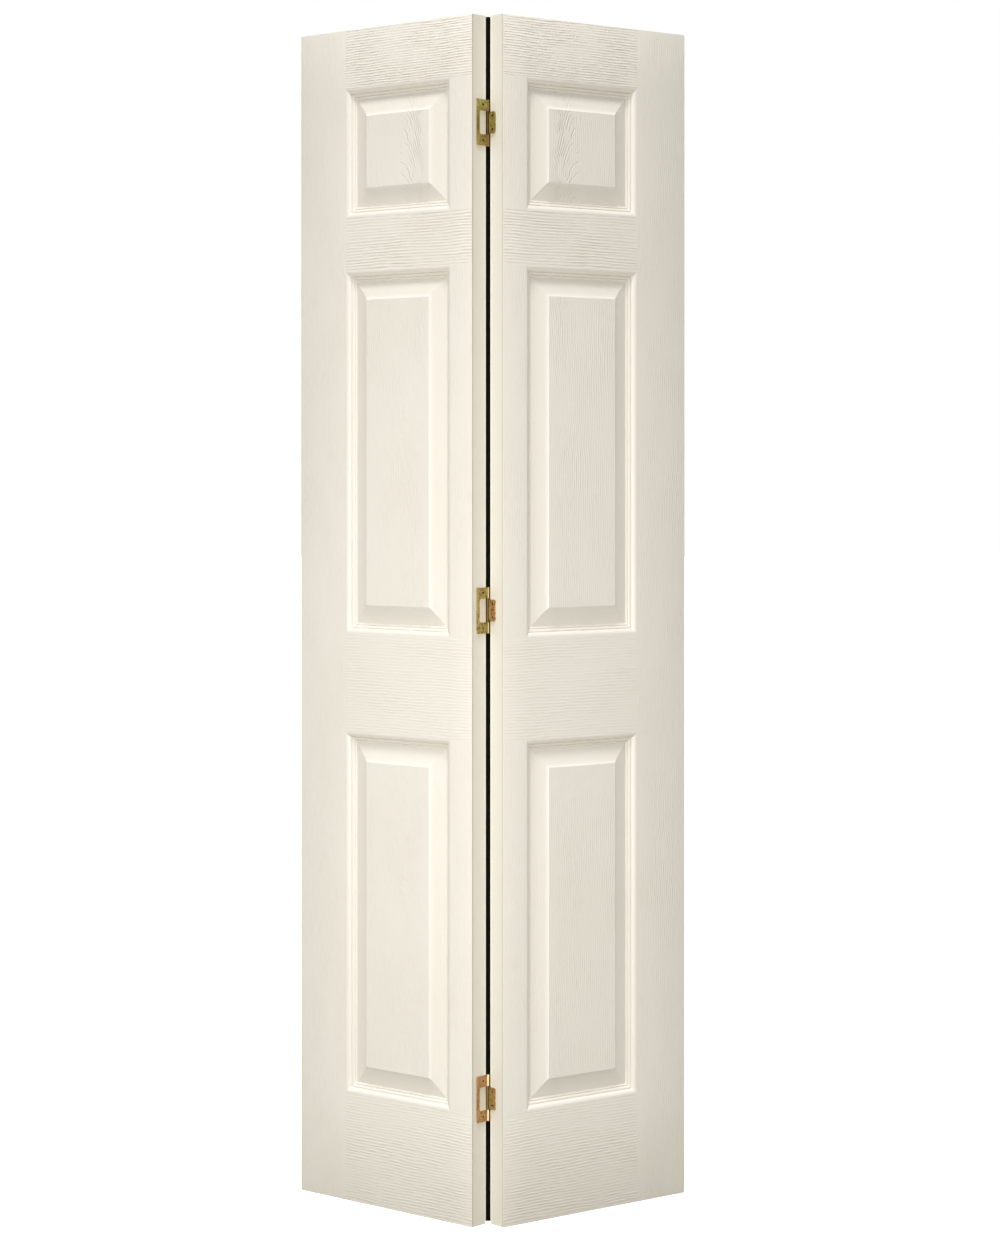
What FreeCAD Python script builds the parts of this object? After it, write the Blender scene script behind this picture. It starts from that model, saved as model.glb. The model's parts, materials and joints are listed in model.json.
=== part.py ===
import FreeCAD, Part
import math
import os
import re

import Sketcher

# Bifold closet door, half folded and standing on the floor.
#
# Two hollow leaves are joined by three surface-mounted hinges on their facing edges. Each leaf
# is a pair of pressed, panelled skins over two stiles, two rails, a knob block and a folded
# paper core. The room faces look towards -Y, and the crease between the leaves points the same
# way. Origin: on the floor, at the centre of the footprint. +Z is up, sizes are millimetres.

SIZES = {
    # one leaf
    "leaf_width": 398.5,
    "leaf_height": 2006.6,
    "leaf_thickness": 34.93,
    "skin_thickness": 3.2,
    # how the two leaves stand: angle of each from the closed, flat door
    "fold_angle": 39.5,
    "leaf_gap": 2.4,
    "pin_setback": 4.2,
    # face layout: flat margins, rails and panel openings, from the top down; the middle
    # panel takes up what is left of the height
    "hinge_margin": 47.9,
    "outer_margin": 107.8,
    "top_rail_face": 100.8,
    "top_panel": 221.0,
    "frieze_rail_face": 92.6,
    "lock_rail_face": 169.5,
    "bottom_panel": 618.2,
    "bottom_rail_face": 185.0,
    # moulding round each opening: ovolo, quirk, bead, fillet, hollow bevel and nosing
    "moulding_width": 49.2,
    "ovolo_width": 8.5,
    "ovolo_drop": 5.0,
    "quirk_drop": 1.0,
    "bead_width": 5.0,
    "bead_drop": 2.2,
    "fillet_width": 4.0,
    "recess_depth": 10.6,
    "bevel_hollow": 0.25,
    "nose_width": 4.5,
    "nose_drop": 3.5,
    # timber inside the leaf
    "hinge_stile_width": 32.0,
    "outer_stile_width": 38.0,
    "top_rail_height": 38.0,
    "bottom_rail_height": 60.0,
    "knob_block_width": 110.0,
    "knob_block_height": 140.0,
    # folded paper core
    "ribbon_thickness": 0.8,
    "core_cell_length": 150.0,
    "core_clearance": 1.0,
    # drilled holes for the track hardware
    "pivot_bore_diameter": 9.525,
    "pivot_bore_depth": 50.0,
    "pivot_inset": 22.2,
    # hinges
    "bottom_hinge_rise": 208.7,
    "top_hinge_drop": 177.5,
    "hinge_height": 76.2,
    "plate_thickness": 1.8,
    "outer_plate_width": 23.7,
    "window_height": 39.5,
    "window_depth": 17.6,
    "window_corner": 3.8,
    "inner_plate_width": 15.6,
    "inner_plate_height": 36.3,
    "inner_plate_corner": 4.5,
    "barrel_diameter": 6.6,
    "knuckle_gap": 0.15,
    "curl_gap": 0.35,
    "pin_diameter": 3.0,
    "pin_clearance": 0.05,
    "pin_stand_out": 0.5,
    # screws
    "outer_screw_spacing": 59.3,
    "outer_screw_inset": 9.0,
    "inner_screw_spacing": 22.4,
    "inner_screw_inset": 7.5,
    "screw_length": 19.0,
    "screw_diameter": 3.0,
    "screw_head_diameter": 6.2,
    "countersink_angle": 82.0,
    "plate_hole_clearance": 0.2,
    "pilot_clearance": 0.05,
}

HINGES = ("bottom", "middle", "top")
LEFT, RIGHT = -1, 1
SIDE_NAMES = {LEFT: "left", RIGHT: "right"}
SHANK_SIDES = 8
PARTS_FOLDER = "parts"

# How a sketch numbers its axes and the points of an edge
AXIS_INDEX = {"across": -1, "up": -2}
POINT_INDEX = {"first": 1, "last": 2, "centre": 3}

doc = FreeCAD.newDocument("BifoldClosetDoor")
sheet = doc.addObject("Spreadsheet::Sheet", "dims")
for row, (alias, value) in enumerate(SIZES.items(), start=1):
    sheet.set(f"A{row}", alias)
    sheet.set(f"B{row}", str(value))
    sheet.setAlias(f"B{row}", alias)
doc.recompute()


# ---------------------------------------------------------------- values and expressions

def on_sheet(text):
    """An expression with each alias written as a reference to the sheet."""
    return re.sub(r"[a-z_]+", lambda m: f"dims.{m[0]}" if m[0] in SIZES else m[0], text)


def bind(thing, target, text):
    """Ties a property or a named constraint to the sheet."""
    thing.setExpression(target, on_sheet(text))


def number(text):
    """What an expression on the sheet's aliases comes to."""
    return float(sheet.evalExpression(on_sheet(text)))


# Sizes that follow from the ones above
OPENING_END = "(leaf_width - outer_margin)"
BACK_OF_CORE = "(leaf_thickness - skin_thickness)"
CORE_THICKNESS = "(leaf_thickness - 2 * skin_thickness)"
TOP_PANEL_TOP = "(leaf_height - top_rail_face)"
TOP_PANEL_FOOT = f"({TOP_PANEL_TOP} - top_panel)"
MIDDLE_PANEL_TOP = f"({TOP_PANEL_FOOT} - frieze_rail_face)"
BOTTOM_PANEL_TOP = "(bottom_rail_face + bottom_panel)"
MIDDLE_PANEL_FOOT = f"({BOTTOM_PANEL_TOP} + lock_rail_face)"
PANELS = {
    "Bottom": ("bottom_rail_face", BOTTOM_PANEL_TOP),
    "Middle": (MIDDLE_PANEL_FOOT, MIDDLE_PANEL_TOP),
    "Top": (TOP_PANEL_FOOT, TOP_PANEL_TOP),
}
PLATE_FACE = "(plate_thickness - leaf_gap / 2)"
KNUCKLE_SEAT = "((barrel_diameter + pin_diameter) / 4)"
HINGE_PITCH = "((leaf_height - bottom_hinge_rise - top_hinge_drop) / 2)"
SCREW_HEAD_HEIGHT = (
    "((screw_head_diameter - screw_diameter) / 2 / tan(countersink_angle * 0.5 deg))"
)


# ---------------------------------------------------------------- sketch helpers

def new_body(label):
    body = doc.addObject("PartDesign::Body", label)
    body.Label = label
    return body


def origin_part(body, role):
    return next(f for f in body.Origin.OriginFeatures if f.Role == role)


def new_sketch(body, name, plane, offset="0"):
    """A sketch on one of the body's own origin planes, raised along the plane's normal."""
    sketch = body.newObject("Sketcher::SketchObject", name)
    sketch.AttachmentSupport = (origin_part(body, plane), [""])
    sketch.MapMode = "FlatFace"
    bind(sketch, "AttachmentOffset.Base.z", offset)
    return sketch


def hold_point(sketch, edge, end, name, x, y):
    """Holds one end of an edge at a bound distance from the sketch's axes."""
    for axis, own_axis, text in (("X", AXIS_INDEX["up"], x), ("Y", AXIS_INDEX["across"], y)):
        value = number(text)
        if abs(value) < 1e-9:
            sketch.addConstraint(Sketcher.Constraint("PointOnObject", edge, end, own_axis))
            continue
        rule = Sketcher.Constraint(
            f"Distance{axis}", AXIS_INDEX["across"], POINT_INDEX["first"], edge, end, value
        )
        index = sketch.addConstraint(rule)
        sketch.renameConstraint(index, f"{name}_{axis}")
        bind(sketch, f"Constraints.{name}_{axis}", text)


def arc_between(start, end, radius, turn):
    """The shorter arc between two points; turn is +1 where it runs anticlockwise."""
    chord = end - start
    to_centre = FreeCAD.Vector(-chord.y, chord.x, 0).normalize() * turn
    height = math.sqrt(max(radius ** 2 - (chord.Length / 2) ** 2, 0))
    middle = start + chord / 2 + to_centre * (height - radius)
    return Part.Arc(start, middle, end)


def end_near(sketch, edge, point):
    """Which end of an edge lies on a point."""
    ends = (POINT_INDEX["first"], POINT_INDEX["last"])
    return min(ends, key=lambda end: (sketch.getPoint(edge, end) - point).Length)


def draw_outline(sketch, corners):
    """A closed outline. A corner is (name, x, y), and may add (turn, radius) of the arc that
    leads to the next corner."""
    points = [FreeCAD.Vector(number(x), number(y), 0) for name, x, y, *bend in corners]
    edges = []
    for i, (name, x, y, *bend) in enumerate(corners):
        start, end = points[i], points[(i + 1) % len(points)]
        line = Part.LineSegment(start, end)
        if bend:
            turn, radius = bend
            line = arc_between(start, end, number(radius), turn)
        edges.append(sketch.addGeometry(line, False))
    for i, (name, x, y, *bend) in enumerate(corners):
        edge, before, point = edges[i], edges[i - 1], points[i]
        end, end_before = end_near(sketch, edge, point), end_near(sketch, before, point)
        sketch.addConstraint(Sketcher.Constraint("Coincident", edge, end, before, end_before))
        hold_point(sketch, edge, end, name, x, y)
        if bend:
            turn, radius = bend
            index = sketch.addConstraint(Sketcher.Constraint("Radius", edge, number(radius)))
            sketch.renameConstraint(index, f"{name}_radius")
            bind(sketch, f"Constraints.{name}_radius", radius)


def draw_rectangle(sketch, name, x0, y0, x1, y1):
    draw_outline(sketch, [
        (f"{name}_a", x0, y0),
        (f"{name}_b", x1, y0),
        (f"{name}_c", x1, y1),
        (f"{name}_d", x0, y1),
    ])


def draw_circle(sketch, name, x, y, diameter):
    circle = Part.Circle(
        FreeCAD.Vector(number(x), number(y), 0), FreeCAD.Vector(0, 0, 1), number(diameter) / 2
    )
    edge = sketch.addGeometry(circle, False)
    hold_point(sketch, edge, POINT_INDEX["centre"], name, x, y)
    index = sketch.addConstraint(Sketcher.Constraint("Diameter", edge, number(diameter)))
    sketch.renameConstraint(index, f"{name}_diameter")
    bind(sketch, f"Constraints.{name}_diameter", diameter)


def draw_shank(sketch, name, x, y, diameter):
    """A regular outline of a few sides, for what lies hidden in the timber."""
    corners = []
    for index in range(SHANK_SIDES):
        turn = f"{index * 360 / SHANK_SIDES} deg"
        corners.append((
            f"{name}_{index}",
            f"{x} + ({diameter}) / 2 * cos({turn})",
            f"{y} + ({diameter}) / 2 * sin({turn})",
        ))
    draw_outline(sketch, corners)


def pad(body, name, sketch, length, backwards=False):
    feature = body.newObject("PartDesign::Pad", name)
    feature.Profile = sketch
    bind(feature, "Length", length)
    feature.Reversed = backwards
    return feature


def cut_through(body, name, sketch):
    """A pocket through everything, to both sides of its sketch."""
    feature = body.newObject("PartDesign::Pocket", name)
    feature.Profile = sketch
    feature.Type = "ThroughAll"
    feature.Midplane = True
    return feature


def cut_to_depth(body, name, sketch, depth, backwards=False):
    feature = body.newObject("PartDesign::Pocket", name)
    feature.Profile = sketch
    bind(feature, "Length", depth)
    feature.Reversed = backwards
    return feature


def repeat_up(body, name, feature, count, span):
    """Repeats a feature upwards."""
    pattern = body.newObject("PartDesign::LinearPattern", name)
    pattern.Originals = [feature]
    pattern.Direction = (origin_part(body, "Z_Axis"), [""])
    bind(pattern, "Length", span)
    pattern.Occurrences = count
    body.Tip = pattern
    return pattern


# ---------------------------------------------------------------- where things stand

def shift(x, y, z):
    return FreeCAD.Placement(FreeCAD.Vector(x, y, z), FreeCAD.Rotation())


def turned(axis, degrees):
    return FreeCAD.Placement(FreeCAD.Vector(), FreeCAD.Rotation(FreeCAD.Vector(*axis), degrees))


def pin_axis_y():
    """Distance of the pin axis from the origin: the origin halves the footprint's depth."""
    angle = math.radians(number("fold_angle"))
    half_gap, width = number("leaf_gap / 2"), number("leaf_width")
    back, thickness = number("pin_setback"), number("leaf_thickness")
    front_edge = half_gap * math.sin(angle) - (back + thickness) * math.cos(angle)
    rear_edge = (half_gap + width) * math.sin(angle) - back * math.cos(angle)
    return -(front_edge + rear_edge) / 2


def fold_placement(side):
    """Turns a leaf's own pieces about the pin axis."""
    return shift(0, pin_axis_y(), 0) * turned((0, 0, 1), side * number("fold_angle"))


def leaf_placement(side):
    """A leaf's own frame: its foot, at the front corner beside the crease. X runs along the
    leaf's width, outwards on the right leaf and inwards on the left, Y through its thickness."""
    corner = shift(side * number("leaf_gap / 2"), -number("pin_setback + leaf_thickness"), 0)
    return fold_placement(side) * corner


def hinge_rise(index):
    return number(f"bottom_hinge_rise + {index} * {HINGE_PITCH}")


def hinge_placement(side, rise):
    """The hinge's own frame: the pin's centre. Its left-hand plate is drawn, and the right
    leaf's pieces are turned over about Y."""
    placement = fold_placement(side) * shift(0, 0, rise)
    if side == RIGHT:
        placement = placement * turned((0, 1, 0), 180)
    return placement


# ---------------------------------------------------------------- skins

def moulding_outline(side):
    """Section of the pressed moulding, from the opening's edge inwards: x across the face, y
    into the leaf. The back runs parallel, one skin thickness behind the main slopes."""
    across = f"{side} * ({{}})"
    ovolo_end = "ovolo_width"
    bead_end = "ovolo_width + bead_width"
    ground = "ovolo_width + bead_width + fillet_width"
    bevel_end = "moulding_width - nose_width"
    bead_top = "ovolo_drop + quirk_drop"
    fillet_top = "ovolo_drop + quirk_drop + bead_drop + quirk_drop / 2"
    fillet_drop = f"(recess_depth - ({fillet_top}))"
    ovolo_radius = "(ovolo_width ^ 2 + ovolo_drop ^ 2) / (2 * ovolo_drop)"
    bead_radius = "(bead_width ^ 2 + bead_drop ^ 2) / (2 * bead_drop)"
    fillet_radius = f"(fillet_width ^ 2 + {fillet_drop} ^ 2) / (2 * {fillet_drop})"
    bevel_chord = f"(({bevel_end} - ({ground})) ^ 2 + (recess_depth - nose_drop) ^ 2)"
    bevel_radius = f"({bevel_chord} / 4 + bevel_hollow ^ 2) / (2 * bevel_hollow)"
    corners = [
        ("face", "0", "0", 1, ovolo_radius),
        ("ovolo_foot", ovolo_end, "ovolo_drop"),
        ("bead_top", ovolo_end, bead_top, 1, bead_radius),
        ("bead_foot", bead_end, f"{bead_top} + bead_drop"),
        ("fillet_top", bead_end, fillet_top, 1, fillet_radius),
        ("ground", ground, "recess_depth", -1, bevel_radius),
        ("nose_foot", bevel_end, "nose_drop"),
        ("field_edge", "moulding_width", "0"),
        ("field_back", "moulding_width", "skin_thickness"),
        ("nose_back", "moulding_width - nose_width + skin_thickness / 2",
         "nose_drop + skin_thickness"),
        ("ground_back", ground, "recess_depth + skin_thickness"),
        ("bead_back", ovolo_end, f"{bead_top} + bead_drop + skin_thickness"),
        ("ovolo_back", "0", "skin_thickness"),
    ]
    outline = []
    for name, x, y, *bend in corners:
        x = "0" if x == "0" else across.format(x)
        if bend:
            turn, radius = bend
            bend = (turn * side, radius)
        outline.append((name, x, y, *bend))
    return outline


def make_skin(label, side, placement):
    """One pressed skin: a flat sheet with three openings, a mitred moulding swept round each,
    and a raised field inside it. side is +1 where the leaf runs towards +X from its hinge edge."""
    body = new_body(label)
    across = f"{side} * ({{}})"
    opening_start = across.format("hinge_margin")
    opening_end = across.format(OPENING_END)
    field_start = across.format("hinge_margin + moulding_width")
    field_end = across.format(f"{OPENING_END} - moulding_width")

    sheet_sketch = new_sketch(body, "SheetSketch", "XZ_Plane")
    draw_rectangle(sheet_sketch, "edge", "0", "0", across.format("leaf_width"), "leaf_height")
    for name, (foot, top) in PANELS.items():
        draw_rectangle(sheet_sketch, name, opening_start, foot, opening_end, top)
    pad(body, "Sheet", sheet_sketch, "skin_thickness", backwards=True)

    for name, (foot, top) in PANELS.items():
        path = new_sketch(body, f"{name}Path", "XZ_Plane")
        draw_rectangle(path, "path", opening_start, foot, opening_end, top)
        section = new_sketch(body, f"{name}Section", "XY_Plane", f"({foot} + {top}) / 2")
        bind(section, "AttachmentOffset.Base.x", opening_start)
        draw_outline(section, moulding_outline(side))
        moulding = body.newObject("PartDesign::AdditivePipe", f"{name}Moulding")
        moulding.Profile = section
        moulding.Spine = (path, [])
        moulding.Transition = "Right corner"

    fields = new_sketch(body, "FieldSketch", "XZ_Plane")
    for name, (foot, top) in PANELS.items():
        draw_rectangle(
            fields, name, field_start, f"{foot} + moulding_width",
            field_end, f"{top} - moulding_width",
        )
    pad(body, "Fields", fields, "skin_thickness", backwards=True)
    body.Placement = placement
    return body


def make_skins(side):
    name = SIDE_NAMES[side]
    front = leaf_placement(side)
    back = front * shift(0, number("leaf_thickness"), 0) * turned((0, 0, 1), 180)
    return [
        make_skin(f"{name}_front_skin", side, front),
        make_skin(f"{name}_back_skin", -side, back),
    ]


# ---------------------------------------------------------------- timber and core

def make_stile(label, side, start, width):
    """An upright of timber between the skins, the full height of the leaf."""
    body = new_body(label)
    sketch = new_sketch(body, "Section", "XY_Plane")
    near, far = f"{side} * ({start})", f"{side} * ({start} + {width})"
    if start == "0":
        near = "0"
    draw_rectangle(sketch, "edge", near, "skin_thickness", far, BACK_OF_CORE)
    pad(body, "Upright", sketch, "leaf_height")
    body.Placement = leaf_placement(side)
    return body


def make_hinge_stile(side):
    """The stile at the crease, with a pilot hole for each hinge screw."""
    body = make_stile(f"{SIDE_NAMES[side]}_hinge_stile", side, "0", "hinge_stile_width")
    plate = "outer" if side == LEFT else "inner"
    sketch = new_sketch(body, "PilotSketch", "YZ_Plane")
    depth_in_leaf = f"leaf_thickness - {plate}_screw_inset"
    for name, sign in (("lower", "-"), ("upper", "+")):
        rise = f"bottom_hinge_rise {sign} {plate}_screw_spacing / 2"
        draw_shank(sketch, name, depth_in_leaf, rise, "screw_diameter + 2 * pilot_clearance")
    pilots = cut_to_depth(
        body, "Pilots", sketch, "screw_length - plate_thickness + pilot_clearance",
        backwards=side == RIGHT,
    )
    repeat_up(body, "PilotsUp", pilots, len(HINGES), f"{len(HINGES) - 1} * {HINGE_PITCH}")
    return body


def make_outer_stile(side):
    """The stile at the jamb or track side, drilled for the pivots or the guide."""
    start = "leaf_width - outer_stile_width"
    body = make_stile(f"{SIDE_NAMES[side]}_outer_stile", side, start, "outer_stile_width")
    bore_x = f"{side} * (leaf_width - pivot_inset)"
    ends = [("Top", "leaf_height", False)]
    if side == LEFT:
        ends.append(("Bottom", "0", True))
    for name, rise, backwards in ends:
        sketch = new_sketch(body, f"{name}BoreSketch", "XY_Plane", rise)
        draw_circle(sketch, "bore", bore_x, "leaf_thickness / 2", "pivot_bore_diameter")
        cut_to_depth(body, f"{name}Bore", sketch, "pivot_bore_depth", backwards)
    return body


def make_block(label, side, start, length, foot, height):
    """A block of timber between the skins."""
    block = doc.addObject("Part::Box", label)
    block.Label = label
    bind(block, "Length", length)
    bind(block, "Width", CORE_THICKNESS)
    bind(block, "Height", height)
    near = number(start) if side == RIGHT else -number(f"{start} + {length}")
    corner = shift(near, number("skin_thickness"), number(foot))
    block.Placement = leaf_placement(side) * corner
    return block


def make_rails(side):
    name = SIDE_NAMES[side]
    start, length = "hinge_stile_width", "leaf_width - hinge_stile_width - outer_stile_width"
    foot = "leaf_height - top_rail_height"
    return [
        make_block(f"{name}_top_rail", side, start, length, foot, "top_rail_height"),
        make_block(f"{name}_bottom_rail", side, start, length, "0", "bottom_rail_height"),
    ]


KNOB_BLOCK_START = "((leaf_width - knob_block_width) / 2)"
LOCK_RAIL_MIDDLE = f"({BOTTOM_PANEL_TOP} + lock_rail_face / 2)"


def make_knob_block(side):
    foot = f"{LOCK_RAIL_MIDDLE} - knob_block_height / 2"
    label = f"{SIDE_NAMES[side]}_knob_block"
    return make_block(
        label, side, KNOB_BLOCK_START, "knob_block_width", foot, "knob_block_height"
    )


def core_zones():
    """The hollows of full depth inside a leaf, as (x0, x1, z0, z1), clear of the pressed
    mouldings: beside the outer stile, in the rails and behind each raised field."""
    stile = number("hinge_stile_width")
    outer_stile = number("leaf_width - outer_stile_width")
    opening_end = number(OPENING_END)
    inset = number("moulding_width")
    opening_start = number("hinge_margin")
    top, foot = number("leaf_height - top_rail_height"), number("bottom_rail_height")
    block_start = number(KNOB_BLOCK_START)
    block_end = block_start + number("knob_block_width")
    panels = {name: (number(a), number(b)) for name, (a, b) in PANELS.items()}
    zones = [
        (opening_end, outer_stile, foot, top),
        (stile, opening_end, foot, panels["Bottom"][0]),
        (stile, block_start, panels["Bottom"][1], panels["Middle"][0]),
        (block_end, opening_end, panels["Bottom"][1], panels["Middle"][0]),
        (stile, opening_end, panels["Middle"][1], panels["Top"][0]),
        (stile, opening_end, panels["Top"][1], top),
    ]
    for low, high in panels.values():
        zones.append((opening_start + inset, opening_end - inset, low + inset, high - inset))
    gap = number("core_clearance")
    return [(x0 + gap, x1 - gap, z0 + gap, z1 - gap) for x0, x1, z0, z1 in zones]


def folded_ribbon(low, high, start, end):
    """A paper ribbon on edge, folded to and fro between low and high as it runs from start to
    end, as the corners of its outline, each (across, along)."""
    half = number("ribbon_thickness / 2")
    folds = max(2, round((end - start) / number("core_cell_length / 2")))
    line = []
    for i in range(folds + 1):
        across = high - half if i % 2 else low + half
        line.append((across, start + (end - start) * i / folds))
    outward = [(across - half, along) for across, along in line]
    return outward + [(across + half, along) for across, along in reversed(line)]


def make_core(side):
    """A folded paper ribbon in every hollow."""
    depth = FreeCAD.Vector(0, number(CORE_THICKNESS), 0)
    front = number("skin_thickness")
    ribbons = []
    for x0, x1, z0, z1 in core_zones():
        upright = z1 - z0 > x1 - x0
        low, high, start, end = (x0, x1, z0, z1) if upright else (z0, z1, x0, x1)
        outline = folded_ribbon(low, high, start, end)
        corners = [(a, b) if upright else (b, a) for a, b in outline]
        points = [FreeCAD.Vector(side * x, front, z) for x, z in corners]
        face = Part.Face(Part.makePolygon(points + points[:1]))
        ribbons.append(face.extrude(depth))
    core = doc.addObject("Part::Feature", f"{SIDE_NAMES[side]}_core")
    core.Label = f"{SIDE_NAMES[side]}_core"
    core.Shape = Part.makeCompound(ribbons)
    core.Placement = leaf_placement(side)
    return core


# ---------------------------------------------------------------- hinges

def countersink(body, spacing, inset):
    """Two countersunk screw holes through a plate, drilled from its open face."""
    sketch = new_sketch(body, "ScrewSketch", "YZ_Plane", PLATE_FACE)
    centre = f"0 - pin_setback - {inset}"
    hole = "screw_diameter + 2 * plate_hole_clearance"
    for name, sign in (("lower", "0 -"), ("upper", "")):
        draw_circle(sketch, name, centre, f"{sign} {spacing} / 2", hole)
    doc.recompute()
    feature = body.newObject("PartDesign::Hole", "ScrewHoles")
    feature.Profile = sketch
    feature.DepthType = "ThroughAll"
    feature.Threaded = False
    bind(feature, "Diameter", hole)
    feature.HoleCutType = "Countersink"
    feature.HoleCutCustomValues = True
    bind(feature, "HoleCutDiameter", "screw_head_diameter + 2 * plate_hole_clearance")
    bind(feature, "HoleCutCountersinkAngle", "countersink_angle")


def bore_knuckles(body):
    """Drills the barrel for the pin and leaves the seam where the plate's curl closes."""
    bore = new_sketch(body, "BoreSketch", "XY_Plane")
    draw_circle(bore, "bore", "0", "0", "pin_diameter + 2 * pin_clearance")
    cut_through(body, "Bore", bore)
    seam = new_sketch(body, "SeamSketch", "XY_Plane")
    draw_rectangle(
        seam, "seam", PLATE_FACE, "0 - barrel_diameter", f"{PLATE_FACE} + curl_gap", "0"
    )
    cut_through(body, "Seam", seam)


def make_outer_plate(label, placement):
    """The tall plate of a hinge: a frame round a window, with a knuckle at each end."""
    body = new_body(label)
    free_edge = "0 - pin_setback - outer_plate_width"
    window_edge = "0 - pin_setback - window_depth"
    seat = f"0 - {KNUCKLE_SEAT}"
    top, window_top = "hinge_height / 2", "window_height / 2"
    sketch = new_sketch(body, "PlateSketch", "YZ_Plane", "0 - leaf_gap / 2")
    draw_outline(sketch, [
        ("free_foot", free_edge, f"0 - {top}"),
        ("foot", seat, f"0 - {top}"),
        ("sill", seat, f"0 - {window_top}"),
        ("sill_corner", f"{window_edge} + window_corner", f"0 - {window_top}",
         -1, "window_corner"),
        ("window_foot", window_edge, f"0 - {window_top} + window_corner"),
        ("window_head", window_edge, f"{window_top} - window_corner", -1, "window_corner"),
        ("head_corner", f"{window_edge} + window_corner", window_top),
        ("head", seat, window_top),
        ("top", seat, top),
        ("free_top", free_edge, top),
    ])
    pad(body, "Plate", sketch, "plate_thickness")
    knuckle_height = "(hinge_height - window_height) / 2"
    for name, rise in (("Upper", window_top), ("Lower", f"0 - {top}")):
        ring = new_sketch(body, f"{name}KnuckleSketch", "XY_Plane", rise)
        draw_circle(ring, "ring", "0", "0", "barrel_diameter")
        pad(body, f"{name}Knuckle", ring, knuckle_height)
    bore_knuckles(body)
    countersink(body, "outer_screw_spacing", "outer_screw_inset")
    body.Placement = placement
    return body


def make_inner_plate(label, placement):
    """The small plate that closes into the window, with the knuckle between the other two."""
    body = new_body(label)
    free_edge = "0 - pin_setback - inner_plate_width"
    seat = f"0 - {KNUCKLE_SEAT}"
    top, corner = "inner_plate_height / 2", "inner_plate_corner"
    sketch = new_sketch(body, "PlateSketch", "YZ_Plane", "0 - leaf_gap / 2")
    draw_outline(sketch, [
        ("foot_corner", f"{free_edge} + {corner}", f"0 - {top}"),
        ("foot", seat, f"0 - {top}"),
        ("top", seat, top),
        ("top_corner", f"{free_edge} + {corner}", top, 1, corner),
        ("edge_top", free_edge, f"{top} - {corner}"),
        ("edge_foot", free_edge, f"0 - {top} + {corner}", 1, corner),
    ])
    pad(body, "Plate", sketch, "plate_thickness")
    ring = new_sketch(body, "KnuckleSketch", "XY_Plane", "knuckle_gap - window_height / 2")
    draw_circle(ring, "ring", "0", "0", "barrel_diameter")
    pad(body, "Knuckle", ring, "window_height - 2 * knuckle_gap")
    bore_knuckles(body)
    countersink(body, "inner_screw_spacing", "inner_screw_inset")
    body.Placement = placement
    return body


def make_pin(label, placement):
    """The fixed pin, which stands a little proud of the barrel at each end."""
    body = new_body(label)
    foot = "0 - hinge_height / 2 - pin_stand_out"
    sketch = new_sketch(body, "PinSketch", "XY_Plane", foot)
    draw_circle(sketch, "pin", "0", "0", "pin_diameter")
    pad(body, "Pin", sketch, "hinge_height + 2 * pin_stand_out")
    body.Placement = placement
    return body


def make_screws(side):
    """The countersunk wood screws that fasten one leaf's hinge plates, as separate solids."""
    plate = "outer" if side == LEFT else "inner"
    label = f"{SIDE_NAMES[side]}_hinge_screws"
    body = new_body(label)
    body.AllowCompound = True
    inset = f"0 - pin_setback - {plate}_screw_inset"
    rise = f"0 - {HINGE_PITCH} - {plate}_screw_spacing / 2"
    neck = f"({PLATE_FACE} - {SCREW_HEAD_HEIGHT})"
    head_sketch = new_sketch(body, "HeadSketch", "XY_Plane")
    bind(head_sketch, "AttachmentOffset.Base.y", inset)
    bind(head_sketch, "AttachmentOffset.Base.z", rise)
    draw_outline(head_sketch, [
        ("neck_middle", neck, "0"),
        ("neck", neck, "screw_diameter / 2"),
        ("rim", PLATE_FACE, "screw_head_diameter / 2"),
        ("face_middle", PLATE_FACE, "0"),
    ])
    head = body.newObject("PartDesign::Revolution", "Head")
    head.Profile = head_sketch
    head.ReferenceAxis = (head_sketch, ["H_Axis"])
    head.Angle = 360
    shank_sketch = new_sketch(body, "ShankSketch", "YZ_Plane", neck)
    draw_shank(shank_sketch, "shank", inset, rise, "screw_diameter")
    shank_length = f"screw_length - {SCREW_HEAD_HEIGHT}"
    shank = pad(body, "Shank", shank_sketch, shank_length, backwards=True)
    doc.recompute()
    steps = [(2, f"{plate}_screw_spacing"), (len(HINGES), f"{len(HINGES) - 1} * {HINGE_PITCH}")]
    patterns = []
    for index, (count, span) in enumerate(steps):
        pattern = body.newObject("PartDesign::LinearPattern", f"Step{index}")
        pattern.Direction = (origin_part(body, "Z_Axis"), [""])
        bind(pattern, "Length", span)
        pattern.Occurrences = count
        patterns.append(pattern)
    every = body.newObject("PartDesign::MultiTransform", "AllScrews")
    every.Originals = [head, shank]
    every.Transformations = patterns
    body.Tip = every
    body.Placement = hinge_placement(side, hinge_rise(HINGES.index("middle")))
    return body


def make_hinges():
    pieces = []
    for index, name in enumerate(HINGES):
        left = hinge_placement(LEFT, hinge_rise(index))
        right = hinge_placement(RIGHT, hinge_rise(index))
        pieces.append(make_outer_plate(f"hinge_{name}_outer_plate", left))
        pieces.append(make_inner_plate(f"hinge_{name}_inner_plate", right))
        pieces.append(make_pin(f"hinge_{name}_pin", left))
    return pieces


# ---------------------------------------------------------------- build, check and write

def make_leaf(side):
    pieces = make_skins(side)
    pieces += [make_hinge_stile(side), make_outer_stile(side)]
    pieces += make_rails(side)
    pieces += [make_knob_block(side), make_core(side), make_screws(side)]
    return pieces


def check(pieces):
    for thing in doc.Objects:
        if "Invalid" in thing.State or "Error" in thing.State:
            raise RuntimeError(f"{thing.Label} failed: {thing.State}")
    for piece in pieces:
        if piece.Shape.isNull() or not piece.Shape.isValid() or not piece.Shape.Solids:
            raise RuntimeError(f"{piece.Label} has no sound shape")


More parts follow.
